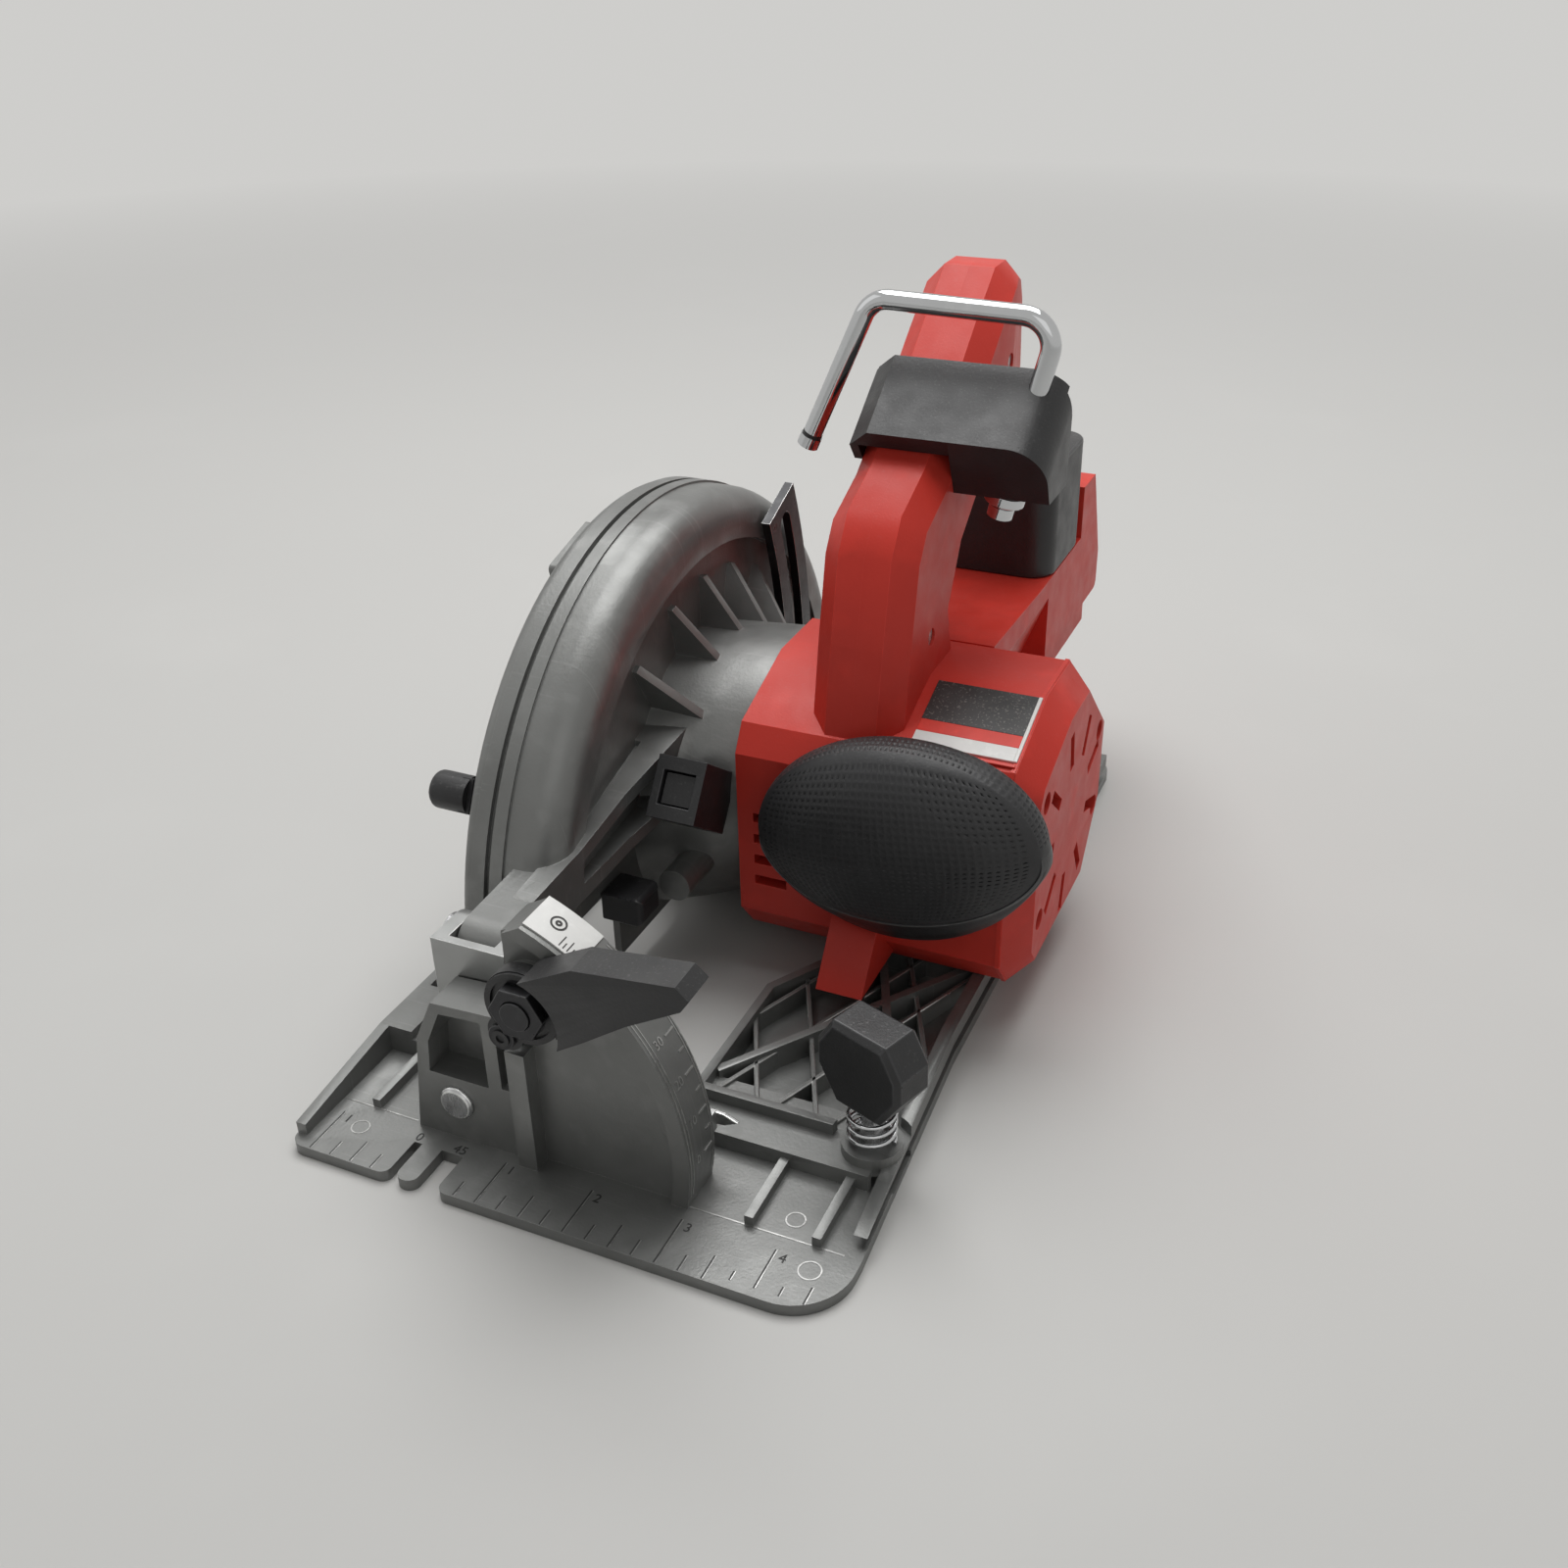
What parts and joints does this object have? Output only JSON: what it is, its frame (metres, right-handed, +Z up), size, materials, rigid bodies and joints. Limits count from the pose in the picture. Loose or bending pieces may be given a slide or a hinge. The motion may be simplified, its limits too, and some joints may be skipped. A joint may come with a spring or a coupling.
{
  "type": "cordless circular saw",
  "caption": "Handheld cordless circular saw: cast shoe with bevel quadrant, depth plate, swinging lower guard, geared motor, looped handle and rafter hook; no blade or battery fitted.",
  "frame": {"origin": "on the sole of the shoe, in the plane of cut, 30 mm behind the shoe's front edge", "axes": "+X from the plane of cut to the motor side, +Y to the rear, +Z up from the sole"},
  "size_m": [0.1698, 0.3, 0.1915],
  "materials": {
    "cast_gray": "satin cast light metal",
    "red_plastic": "fine-grained moulded nylon",
    "black_plastic": "fine-grained moulded nylon",
    "black_rubber": "textured soft grip",
    "zinc": "bright plated",
    "steel": "ground and plated",
    "lamination": "stacked sheet steel",
    "chrome": "bright wire"
  },
  "bodies": {
    "shoe": {"shoe": "cast_gray", "bevel_pin_front": "steel", "bevel_pin_rear": "steel", "lock_bolt": "steel", "fence_spring": "steel"},
    "bevel_lever": {"bevel_lever": "black_plastic", "lever_nut": "steel", "lever_screw": "steel"},
    "fence_knob": {"fence_knob": "black_plastic", "fence_screw": "steel"},
    "tilt_frame": {"tilt_bracket": "zinc", "bevel_pointer": "zinc", "depth_pin": "steel", "depth_plate": "steel", "rear_bracket": "zinc"},
    "saw_body": {"upper_guard": "cast_gray", "guard_retainer": "steel", "spindle_bearing_front": "steel", "bearing_plate": "zinc", "spindle_bearing_rear": "steel", "motor_bearing_front": "steel", "motor_bearing_rear": "steel", "bumper": "black_rubber", "lock_housing": "black_plastic", "depth_bolt": "steel", "motor_housing": "red_plastic", "housing_screws": "steel", "stator": "lamination", "label_plate": "black_plastic", "pommel_grip": "black_rubber", "handle_left": "red_plastic", "handle_right": "red_plastic", "handle_screws": "steel", "switch_module": "black_plastic", "rear_block": "black_plastic", "electronics": "black_plastic", "battery_foot": "red_plastic", "terminal_block": "black_plastic", "hook_clamp": "black_plastic"},
    "depth_lever": {"depth_lever": "black_plastic"},
    "spindle": {"spindle": "steel", "inner_flange": "steel", "outer_flange": "steel", "blade_bolt": "steel", "driven_gear": "steel"},
    "rotor": {"rotor_shaft": "steel", "rotor_core": "lamination", "cooling_fan": "black_plastic"},
    "lower_guard": {"lower_guard": "zinc", "guard_lever": "black_plastic"},
    "lock_button": {"spindle_lock_button": "black_plastic"},
    "trigger": {"trigger": "black_plastic"},
    "lock_off_button": {"lock_off_button": "black_plastic"},
    "rafter_hook": {"rafter_hook": "chrome"}
  },
  "joints": [
    {"name": "bevel_lever_turn", "type": "hinge", "parent": "shoe", "child": "bevel_lever", "pos_m": [0.03723, -0.011, 0.05793], "axis": [0, -1, 0], "range_deg": [0, 40]},
    {"name": "fence_knob_turn", "type": "hinge", "parent": "shoe", "child": "fence_knob", "pos_m": [0.112, 0.022, 0.02], "axis": [0, 0, 1], "continuous": true},
    {"name": "bevel_tilt", "type": "hinge", "parent": "shoe", "child": "tilt_frame", "pos_m": [0.01, 0, 0.016], "axis": [0, -1, 0], "range_deg": [0, 50]},
    {"name": "depth_swing", "type": "hinge", "parent": "tilt_frame", "child": "saw_body", "pos_m": [0.01, 0.013, 0.05], "axis": [1, 0, 0], "range_deg": [0, 30]},
    {"name": "depth_lever_turn", "type": "hinge", "parent": "saw_body", "child": "depth_lever", "pos_m": [0.025, 0.18577, 0.01642], "axis": [1, 0, 0], "range_deg": [0, 30]},
    {"name": "spindle_spin", "type": "hinge", "parent": "saw_body", "child": "spindle", "pos_m": [0, 0.131, 0.027], "axis": [1, 0, 0], "continuous": true},
    {"name": "rotor_spin", "type": "hinge", "parent": "saw_body", "child": "rotor", "pos_m": [0.06, 0.131, 0.05], "axis": [1, 0, 0], "continuous": true},
    {"name": "lower_guard_swing", "type": "hinge", "parent": "saw_body", "child": "lower_guard", "pos_m": [0, 0.131, 0.027], "axis": [1, 0, 0], "range_deg": [-140, 0]},
    {"name": "lock_button_press", "type": "slide", "parent": "saw_body", "child": "lock_button", "axis": [0, 0.809, -0.5878], "range_m": [0, 0.004], "stiffness_N_per_m": 400, "springref_m": -0.002},
    {"name": "trigger_pull", "type": "slide", "parent": "saw_body", "child": "trigger", "axis": [0, -0.5888, 0.8082], "range_m": [0, 0.006], "stiffness_N_per_m": 600, "springref_m": -0.003},
    {"name": "lock_off_push", "type": "slide", "parent": "saw_body", "child": "lock_off_button", "axis": [1, 0, 0], "range_m": [0, 0.003], "stiffness_N_per_m": 400},
    {"name": "rafter_hook_swing", "type": "hinge", "parent": "saw_body", "child": "rafter_hook", "pos_m": [0.1, 0.148, 0.1318], "axis": [0.2438, 0, 0.9698], "range_deg": [0, 120]}
  ],
  "couplings": [
    {"joint": "spindle_spin", "follows": "rotor_spin", "ratio": -0.27778}
  ]
}
